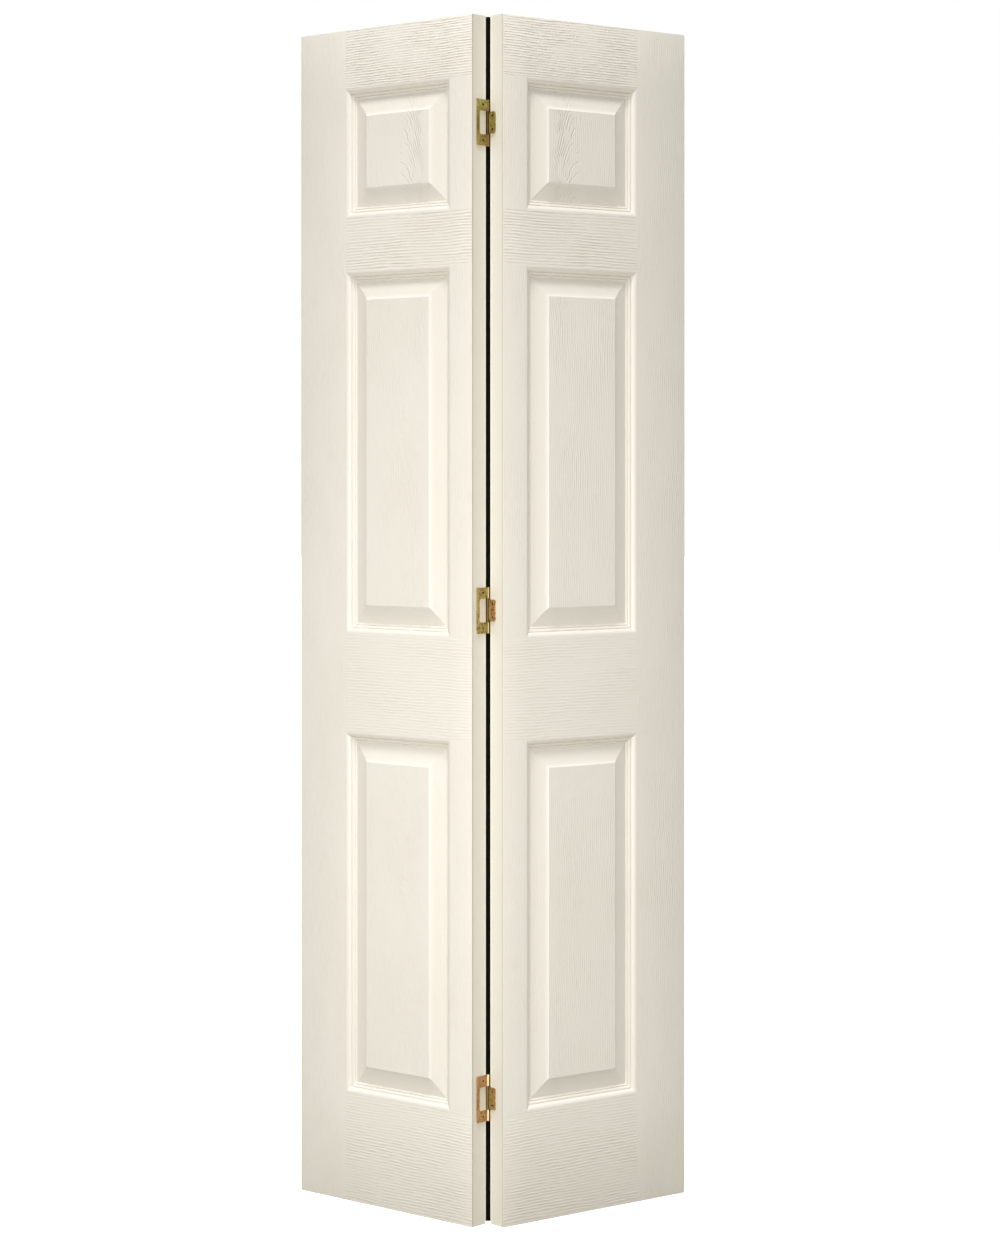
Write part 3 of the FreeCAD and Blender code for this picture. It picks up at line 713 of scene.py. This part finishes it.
CREAM = srgb(242, 237, 227)
CREAM_SHADE = srgb(229, 222, 207)
GROOVE_PAINTED_SHADE = srgb(200, 191, 171)
# The moulding's creams are a little darker than CREAM: painted shade of the panels' moulding
MOULDING_SHADED_CREAM, STICKING_SHADED_CREAM = srgb(237, 232, 221), srgb(236, 231, 221)
NOSING_SHADED_CREAM = srgb(237, 233, 224)
# Edge creams differ by leaf: the left leaf's are darker, painted shade on the same paint. The
# skins' room-side edges are darker than the stiles beside them.
EDGE_CREAM_SIDE_SHADED = {LEFT: srgb(227, 222, 210), RIGHT: srgb(235, 231, 219)}
FRONT_EDGE_CREAM_SIDE_SHADED = {LEFT: srgb(196, 188, 172), RIGHT: srgb(212, 205, 191)}
BACK_EDGE_CREAM_SIDE_SHADED = {LEFT: srgb(240, 236, 225), RIGHT: srgb(250, 247, 237)}

ORANGE_PEEL = 0.06 * MM
# How much painted shade darkens the paint in a plume's stroke, and how high the fine grain stands
# beside it
STROKE_SHADE, FIELD_RIDGE = 0.38, 0.55


def mottled(finish, place, scale, share, colour):
    """Cream paint with faint, broad clouds of its shade."""
    clouds = finish.noise(place, scale, 3.0)
    return finish.blend(finish.remap(clouds, 0.3, 0.7, 0.0, share), colour, CREAM_SHADE)


def paint(name, grain=None, depth=ORANGE_PEEL, shade=0.0, colour=CREAM, gloss=0.35):
    """Satin cream paint over fibreboard. grain is None where the board is smooth, or how the
    embossed wood grain runs: "across", "up" or "plumed". The grain's grooves and the plumes'
    strokes are darkened in colour as well: painted shade."""
    finish = Finish(name, colour, 0.42, gloss=gloss)
    place = finish.place()
    tint = mottled(finish, place, 5.0, 0.2, colour)
    if grain:
        uv = finish.add("UVMap", {"uv_map": "UVMap"}).outputs[0]
        height, groove = embossing(finish, uv, grain)
        # Painted shade: the paint is darker in the grain's grooves
        tint = finish.blend(finish.maths("MULTIPLY", groove, shade), tint, GROOVE_PAINTED_SHADE)
    else:
        height = finish.noise(place, 260.0)
    if grain == "plumed":
        stroke = plumes(finish, uv)
        # Painted shade: the paint is darker in each plume's stroke
        tint = finish.blend(finish.maths("MULTIPLY", stroke, STROKE_SHADE), tint, GROOVE_PAINTED_SHADE)
        height = finish.maths("SUBTRACT", finish.maths("MULTIPLY", height, FIELD_RIDGE), stroke)
    finish.colour(tint)
    finish.bump(height, depth)
    return finish.material


RAIL_PITCH, TOP_RAIL_PITCH, UPRIGHT_PITCH = 5.1 * MM, 4.4 * MM, 4.4 * MM
RAIL_SWING, UPRIGHT_SWING = 6 * MM, 24 * MM
# The rails' grain is faint at one height, deep at another, and gains a little towards the foot
FAINT_HEIGHT, DEEP_HEIGHT = 0.89, 1.96
FAINT, DEEP, FOOT_GAIN = 0.4, 1.15, 0.18


def embossing(finish, uv, grain):
    """Height of pressed wood grain, and the mask of its grooves that painted shade darkens, on the
    leaf's own u and height.
    """
    split = finish.add("SeparateXYZ", Vector=uv)
    u, height = split.outputs[0], split.outputs[1]
    if grain == "across":
        along, pitch, swing = u, RAIL_PITCH, RAIL_SWING
        squeeze = TOP_RAIL * (RAIL_PITCH / TOP_RAIL_PITCH - 1)
        top_rail = finish.remap(height, LEAF_HEIGHT - TOP_RAIL, LEAF_HEIGHT, 0, squeeze)
        across = finish.maths("ADD", height, top_rail)
        upper = finish.remap(height, FAINT_HEIGHT, DEEP_HEIGHT, FAINT, DEEP)
        lower = finish.remap(height, FAINT_HEIGHT, 0.0, 0.0, FOOT_GAIN)
        depth = finish.maths("ADD", upper, lower)
    else:
        along, across, pitch, swing, depth = height, u, UPRIGHT_PITCH, UPRIGHT_SWING, 1.0
    joined = finish.add("CombineXYZ", X=along, Y=across).outputs[0]
    waver = finish.stretched(joined, (8, 10, 1), detail=1.0)
    crowd = finish.stretched(joined, (18, 90, 1), (5, 2, 0), 1.0)
    strength = finish.stretched(joined, (45, 210, 1), (1, 9, 0))
    patches = finish.stretched(joined, (7, 16, 1), (3, 4, 0), 1.0)
    bent = finish.sway(finish.sway(across, waver, swing), crowd, pitch * 0.7)
    wave = finish.maths("SINE", finish.maths("MULTIPLY", bent, 2 * math.pi / pitch))
    ridge = finish.maths("MULTIPLY_ADD", wave, 0.5, 0.5)
    depth = finish.maths("MULTIPLY", finish.remap(patches, 0.36, 0.6, 0.45, 1.15), depth)
    share = finish.maths("MULTIPLY", finish.remap(strength, 0.38, 0.62, 0.3, 1.05), depth)
    groove = finish.maths("MULTIPLY", finish.maths("SUBTRACT", 1.0, ridge), share)
    return finish.maths("MULTIPLY", ridge, share), groove


PLUME_BOW, PLUME_PITCH, STROKE_WIDTH = 45.0, 15 * MM, 1.1 * MM
PLUME_SWING, CREST_WIDTH = PLUME_PITCH * 2.4, PLUME_PITCH * 0.38
PLUME_HEART = HINGE_MARGIN + MOULDING + 66 * MM
# Where the strokes fade in and out again, counted from their heart towards the crease
HEART_FADE, CREASE_FADE = (-2 * MM, 5 * MM), (62 * MM, 44 * MM)
LOWER_PLUMES = 0.24


def plumes(finish, uv):
    """Mask of the fine strokes in a field. They rise along its side by the crease and bend over
    towards its middle, like one half of a row of arches. Below the top panels they are faint."""
    split = finish.add("SeparateXYZ", Vector=uv)
    height = split.outputs[1]
    reach = finish.maths("SUBTRACT", PLUME_HEART, split.outputs[0])
    level = finish.maths("MULTIPLY_ADD", finish.maths("MULTIPLY", reach, reach), PLUME_BOW, height)
    level = finish.sway(level, finish.noise(uv, 28.0), PLUME_SWING)
    off = finish.maths("PINGPONG", level, PLUME_PITCH / 2)
    slope = finish.maths("MULTIPLY", reach, 2 * PLUME_BOW)
    steep = finish.maths("SQRT", finish.maths("MULTIPLY_ADD", slope, slope, 1.0))
    line = finish.remap(finish.maths("DIVIDE", off, steep), 0.0, STROKE_WIDTH, 1.0, 0.0)
    line = finish.maths("MINIMUM", line, finish.remap(off, 0.0, CREST_WIDTH, 1.0, 0.0))
    broken = finish.stretched(uv, (60, 30, 1), (2, 7, 0))
    foot = panel_spans[-1][0]
    for share in (
        finish.remap(broken, 0.42, 0.54), finish.remap(reach, *HEART_FADE),
        finish.remap(reach, *CREASE_FADE),
        finish.remap(height, foot - FRIEZE_RAIL, foot, LOWER_PLUMES, 1.0),
    ):
        line = finish.maths("MULTIPLY", line, share)
    return line


PITH, YEAR, YEAR_BEND = (0.03, -0.32, 0), 3.2 * MM, 2.5
CUT_DEPTH = 0.2 * MM


def end_cut(name, coat, colour, dark):
    """Paint on the long faces of a timber, bare wood where it is cut across."""
    finish = Finish(name, coat, 0.45)
    place = finish.place()
    height = finish.add("SeparateXYZ", Vector=place).outputs[2]
    low = finish.maths("LESS_THAN", height, CUT_DEPTH)
    high = finish.maths("GREATER_THAN", height, LEAF_HEIGHT - CUT_DEPTH)
    flat = finish.add("Mapping", Vector=place, Scale=(1, 1, 0)).outputs[0]
    reach = finish.fill("VectorMath", {"operation": "DISTANCE"}, (flat, PITH)).outputs["Value"]
    years = finish.maths("DIVIDE", reach, YEAR)
    turns = finish.maths("MULTIPLY_ADD", finish.noise(flat, 22.0), YEAR_BEND, years)
    rings = finish.maths("SINE", finish.maths("MULTIPLY", turns, 2 * math.pi))
    wood = finish.blend(finish.remap(rings, -0.4, 1.0, 0.0, 0.7), colour, dark)
    painted = mottled(finish, place, 6.0, 0.15, coat)
    finish.colour(finish.blend(finish.maths("ADD", low, high), painted, wood))
    finish.bump(finish.stretched(place, (300, 300, 14)), 0.08 * MM)
    return finish.material


def timber(name, light, dark, turn):
    """Planed softwood, left bare. Its grain runs across the leaf, which stands at this turn."""
    finish = Finish(name, light, 0.6)
    place = finish.add("Mapping", Vector=finish.place(), Rotation=(0, 0, -turn)).outputs[0]
    years = finish.stretched(place, (5, 120, 120), detail=3.0)
    finish.colour(finish.blend(finish.remap(years, 0.35, 0.65), light, dark))
    finish.bump(years, 0.1 * MM)
    return finish.material


def fibreboard(name, light, dark):
    """Brown hardboard, as the skins show it where they are cut."""
    finish = Finish(name, light, 0.75)
    specks = finish.noise(finish.place(), 900.0, 3.0)
    finish.colour(finish.blend(finish.remap(specks, 0.3, 0.7), light, dark))
    finish.bump(specks, 0.12 * MM)
    return finish.material


def kraft(name, light, dark):
    """Kraft paper of the core."""
    finish = Finish(name, light, 0.85)
    fibres = finish.stretched(finish.place(), (200, 200, 60), detail=4.0)
    finish.colour(finish.blend(finish.remap(fibres, 0.3, 0.7), light, dark))
    finish.bump(fibres, 0.08 * MM)
    return finish.material


ZINC_PLACES = (0.1, 0.5, 0.9)
BAND_PLACES = (0.125, 0.375, 0.625, 0.875)
TINT_WAVER, BAND_WAVER = 0.8, 1.0 * MM
METAL_GRAIN = 700.0


def zinc(name, tints, mottle, index, shift=0.0):
    """Yellow zinc plating on the hinge of that index, with the colour play of its passivated
    film. Its tints follow each other from the foot of the hinge to the top."""
    finish = Finish(name, tints[0], 0.42, metallic=1.0)
    place = finish.place()
    height = finish.add("SeparateXYZ", Vector=place).outputs[2]
    middle = BOTTOM_HINGE_RISE + index * hinge_pitch
    rise = finish.remap(height, middle - HINGE_HEIGHT / 2, middle + HINGE_HEIGHT / 2)
    drift = finish.stretched(place, (1, 1, 0.6), (shift, shift * 2, 0), scale=60.0)
    spots = finish.stretched(place, (1, 1, 1), (0, shift, shift), 4.0, 230.0)
    film = finish.ramp(finish.sway(rise, drift, TINT_WAVER), tints, ZINC_PLACES)
    finish.colour(finish.blend(finish.remap(spots, 0.46, 0.62, 0.0, 0.85), film, mottle))
    finish.set(finish.shader, "Roughness", finish.remap(spots, 0.3, 0.7, 0.34, 0.52))
    finish.bump(finish.noise(place, METAL_GRAIN), 0.05 * MM)
    return finish.material


def reflection_banded_zinc(name, bands, shift=0.0):
    """Plating on a knuckle, with bright and dark bands along it: painted highlights, reflections
    and shade. The bands are tints from the barrel's left side to its right."""
    finish = Finish(name, bands[0], 0.46, metallic=1.0)
    place = finish.place()
    across = finish.add("SeparateXYZ", Vector=place).outputs[0]
    waver = finish.stretched(place, (1, 1, 0.5), (0, 0, shift), 3.0, 240.0)
    across = finish.sway(across, waver, BAND_WAVER)
    across = finish.remap(across, -BARREL_RADIUS, BARREL_RADIUS)
    finish.colour(finish.ramp(across, bands, BAND_PLACES))
    finish.bump(finish.noise(place, METAL_GRAIN), 0.04 * MM)
    return finish.material


def recess_shade_finish():
    """The dull bottom of a screw's cross recess, near black: painted shade in the recess."""
    finish = Finish("screw recess shade", srgb(16, 9, 5), 0.9, gloss=0.0)
    finish.bump(finish.noise(finish.place(), 900.0), 0.03 * MM)
    return finish.material


OLIVE, MOSS, KHAKI = srgb(170, 170, 98), srgb(176, 164, 92), srgb(172, 156, 94)
TAN, COPPER, FAWN = srgb(172, 152, 92), srgb(188, 146, 104), srgb(184, 146, 98)
SAND, OCHRE, DRAB = srgb(178, 158, 100), srgb(190, 164, 106), srgb(130, 110, 58)
AMBER, APRICOT = srgb(156, 124, 82), srgb(204, 158, 108)
RUST, BROWN, BARK = srgb(150, 106, 60), srgb(112, 90, 48), srgb(92, 70, 36)
UMBER, SOOT = srgb(60, 42, 14), srgb(24, 16, 6)
BRASS, PALE_GOLD, STRAW = srgb(176, 158, 106), srgb(206, 186, 136), srgb(226, 208, 160)
PINE, PINE_LATE = srgb(205, 172, 122), srgb(170, 130, 84)
PLANED_PINE, PLANED_LATE = srgb(208, 180, 136), srgb(184, 150, 104)

# ---------------------------------------------------------------- assembling the door

face_finishes = [
    paint("rail paint", "across", 0.47 * MM, 0.34),
    paint("stile paint", "up", 0.22 * MM, 0.14),
    paint("field paint", "plumed", 0.60 * MM, 0.1),
    paint("moulding paint", "plumed", 0.30 * MM, 0.06, MOULDING_SHADED_CREAM, 0.6),
    paint("nosing paint", colour=NOSING_SHADED_CREAM, gloss=0.5),
    paint("sticking paint", colour=STICKING_SHADED_CREAM, gloss=0.6),
]
board_finish = fibreboard("bare fibreboard", srgb(150, 112, 74), srgb(118, 84, 54))
for side, name in SIDE_NAMES.items():
    edge_finishes = [
        paint(f"{name} front edge paint", colour=FRONT_EDGE_CREAM_SIDE_SHADED[side]),
        paint(f"{name} back edge paint", colour=BACK_EDGE_CREAM_SIDE_SHADED[side]),
    ]
    for back in (False, True):
        make_skin(side, back, [*face_finishes, edge_finishes[back], board_finish])

outer_stile_finish = end_cut("painted stile", CREAM, PINE, PINE_LATE)
# Hinge stiles take their leaf's edge cream, with its painted shade on the left leaf
hinge_stile_finishes = {
    SIDE_NAMES[side]: end_cut(f"{SIDE_NAMES[side]} hinge stile paint", coat, PINE, PINE_LATE)
    for side, coat in EDGE_CREAM_SIDE_SHADED.items()
}
bare_finishes = {
    name: timber(f"{name} bare pine", PLANED_PINE, PLANED_LATE, side * FOLD_ANGLE)
    for side, name in SIDE_NAMES.items()
}
core_finish = kraft("kraft paper", srgb(166, 128, 88), srgb(140, 104, 68))
for name, node in frame["nodes"].items():
    leaf = name.split("_")[0]
    if name.endswith("outer_stile"):
        finish = outer_stile_finish
    elif name.endswith("hinge_stile"):
        finish = hinge_stile_finishes[leaf]
    elif name.endswith(("rail", "knob_block")):
        finish = bare_finishes[leaf]
    elif name.endswith("core"):
        finish = core_finish
    else:
        continue
    node.data.materials.clear()
    node.data.materials.append(finish)

# Tints of the bottom, middle and top hinge: of each plate from its foot to its top, of its
# mottling, and of each knuckle from left to right, whose bands are painted highlights,
# reflections and shade
tall_tints = [(FAWN, AMBER, COPPER), (KHAKI, SAND, KHAKI), (TAN, DRAB, OLIVE)]
small_tints = [(KHAKI, OCHRE, OCHRE), (OCHRE, APRICOT, OCHRE), (FAWN, MOSS, MOSS)]
mottles = [RUST, BROWN, DRAB]
outer_reflection_bands = [
    (PALE_GOLD, STRAW, PALE_GOLD, SOOT),
    (PALE_GOLD, BROWN, BRASS, SOOT),
    (PALE_GOLD, BROWN, RUST, UMBER),
]
middle_reflection_bands = [
    (BROWN, DRAB, SOOT, BARK),
    (UMBER, BROWN, SOOT, UMBER),
    (SOOT, BROWN, SOOT, UMBER),
]
edge_highlight_finish = zinc("edge highlight plating", (PALE_GOLD, PALE_GOLD, STRAW), TAN, 1, 0.3)
pin_finish = zinc("pin plating", (OLIVE, BRASS, PALE_GOLD), COPPER, 1, 0.9)
for index, name in enumerate(HINGES):
    mottle = mottles[index]
    tall = zinc(f"{name} hinge tall plate plating", tall_tints[index], mottle, index, index)
    small = zinc(f"{name} hinge small plate plating", small_tints[index], mottle, index, index + 2)
    curls = reflection_banded_zinc(f"{name} hinge knuckle plating", outer_reflection_bands[index], index)
    middle_curl = reflection_banded_zinc(f"{name} hinge middle knuckle plating", middle_reflection_bands[index], index)
    make_tall_plate(index, [tall, edge_highlight_finish, curls])
    make_small_plate(index, [small, edge_highlight_finish, middle_curl])
    make_pin(index, [pin_finish])
screw_finish = zinc("screw plating", (STRAW, BRASS, BRASS), FAWN, 1, 6.6)
cross_shade_finish = recess_shade_finish()
for side in (LEFT, RIGHT):
    make_screws(side, [screw_finish, cross_shade_finish])

# ---------------------------------------------------------------- studio

CAMERA_TURN = math.radians(1.7)
CAMERA_DISTANCE = 5.0
CAMERA_HEIGHT = 1.246
CAMERA_OFFSET = 0.0197
LENS, FILM_WIDTH = 86.6, 36
HORIZON_SHIFT = -0.121

AMBIENT = 0.48
WHITE = (1, 1, 1, 1)
FLOOR_SIZE, FLOOR_DROP = 40, 0.5 * MM
FLOOR_GLOW = 0.75
FLOOR_BOUNCE, FLOOR_SEEN = (0.20, 0.188, 0.14), (0.8, 0.8, 0.8)

# A black card behind the gap between the leaves: painted shade where the gap shows darkness
CARD_SETBACK = 14 * MM
CARD_WIDTH = 17 * MM
CARD_RISE = 1.2 * MM
CARD_SHADE_BLACK = (0.006, 0.005, 0.004)


def add_camera():
    """A level camera before the crease, framed downwards by its shift."""
    ahead = Vector((-math.sin(CAMERA_TURN), math.cos(CAMERA_TURN), 0))
    right = Vector((ahead.y, -ahead.x, 0))
    data = bpy.data.cameras.new("camera")
    data.lens, data.sensor_width = LENS, FILM_WIDTH
    data.shift_y = HORIZON_SHIFT
    camera = add_to_scene("camera", data)
    place = PIN_AXIS + right * CAMERA_OFFSET - ahead * CAMERA_DISTANCE
    camera.location = (place.x, place.y, CAMERA_HEIGHT)
    camera.rotation_euler = ahead.to_track_quat("-Z", "Y").to_euler()
    bpy.context.scene.camera = camera


def add_sun(name, azimuth, elevation, spread, strength):
    """A broad, distant light. Azimuth 0 is before the door, and 90 on its right."""
    data = bpy.data.lights.new(name, "SUN")
    data.angle = math.radians(spread)
    data.energy = strength
    turn, rise = math.radians(azimuth), math.radians(elevation)
    towards = Vector((
        math.sin(turn) * math.cos(rise), -math.cos(turn) * math.cos(rise), math.sin(rise)
    ))
    add_to_scene(name, data).rotation_euler = towards.to_track_quat("Z", "Y").to_euler()


def add_lamp(name, azimuth, distance, height, size, power, aim):
    """A soft rectangular lamp that looks at the door's middle, aim metres up."""
    data = bpy.data.lights.new(name, "AREA")
    data.shape = "RECTANGLE"
    data.size, data.size_y = size
    data.energy = power
    lamp = add_to_scene(name, data)
    turn = math.radians(azimuth)
    lamp.location = (distance * math.sin(turn), -distance * math.cos(turn), height)
    ahead = Vector((0, 0, aim)) - lamp.location
    lamp.rotation_euler = ahead.to_track_quat("-Z", "Y").to_euler()


def add_world():
    """Soft grey light all round, seen by the camera and in reflections as white."""
    world = bpy.data.worlds.new("studio")
    bpy.context.scene.world = world
    world.use_nodes = True
    nodes = Nodes(world.node_tree)
    background = nodes.tree.nodes["Background"]
    seen = nodes.seen_by("Is Camera Ray", "Is Glossy Ray", "Is Transmission Ray")
    nodes.set(background, "Color", WHITE)
    nodes.set(background, "Strength", nodes.remap(seen, 0.0, 1.0, AMBIENT, 1.0))


def add_stage(name, place, size, finish):
    """A flat sheet of the studio, which isn't part of the door."""
    bm = bmesh.new()
    bmesh.ops.create_grid(bm, x_segments=1, y_segments=1, size=size, matrix=place)
    mesh = bpy.data.meshes.new(name)
    bm.to_mesh(mesh)
    bm.free()
    mesh.materials.append(finish.material)
    add_to_scene(name, mesh)


def add_floor():
    """A pale floor that the camera sees as white, apart from the door's shadow."""
    finish = Finish("floor", FLOOR_SEEN, 0.9, gloss=0.0)
    seen = finish.seen_by("Is Camera Ray", "Is Glossy Ray", "Is Transmission Ray")
    finish.set(finish.shader, "Emission Color", WHITE)
    finish.set(finish.shader, "Emission Strength", finish.maths("MULTIPLY", seen, FLOOR_GLOW))
    finish.colour(finish.blend(seen, FLOOR_BOUNCE, FLOOR_SEEN))
    add_stage("floor", Matrix.Translation((0, 0, -FLOOR_DROP)), FLOOR_SIZE, finish)


def add_painted_shade_card():
    """A black card in the crease behind the pins: painted shade, which the gap between the leaves
    shows and the knuckles reflect. It is seen from the room side alone."""
    finish = Finish("painted shade card", CARD_SHADE_BLACK, 0.95, gloss=0.0)
    clear = finish.add("BsdfTransparent")
    behind = finish.add("NewGeometry").outputs["Backfacing"]
    seen = finish.seen_by("Is Camera Ray", "Is Glossy Ray")
    shown = finish.maths("MULTIPLY", seen, finish.maths("SUBTRACT", 1.0, behind))
    shaders = (shown, clear.outputs[0], finish.shader.outputs[0])
    mix = finish.fill("MixShader", None, shaders)
    finish.set(finish.tree.nodes["Material Output"], "Surface", mix.outputs[0])
    height = LEAF_HEIGHT + CARD_RISE
    place = Matrix.Translation(PIN_AXIS + Vector((0, CARD_SETBACK, height / 2)))
    upright = Matrix.Rotation(math.pi / 2, 4, "X")
    size = Matrix.Diagonal((CARD_WIDTH, height, 1, 1))
    add_stage("painted_shade_card", place @ upright @ size, 0.5, finish)


add_camera()
add_world()
add_floor()
add_painted_shade_card()
add_sun("overhead", azimuth=-5, elevation=67, spread=16, strength=1.5)
add_sun("rear", azimuth=165, elevation=45, spread=60, strength=0.9)
add_lamp(
    "rear_softbox", azimuth=180, distance=1.9, height=1.1, size=(0.8, 1.2), power=14.0, aim=1.05
)
add_lamp(
    "top_softbox", azimuth=-6, distance=0.8, height=3.3, size=(0.4, 0.35), power=10.6, aim=1.7
)
add_lamp("softbox", azimuth=-8, distance=1.9, height=1.25, size=(0.5, 0.6), power=3.8, aim=1.15)
add_lamp("low_softbox", azimuth=3, distance=1.9, height=0.75, size=(0.5, 0.6), power=10.2, aim=0.9)
add_lamp(
    "left_softbox", azimuth=-30, distance=1.9, height=0.75, size=(0.5, 0.6), power=5.8, aim=0.9
)

bpy.context.scene.view_settings.view_transform = "Standard"
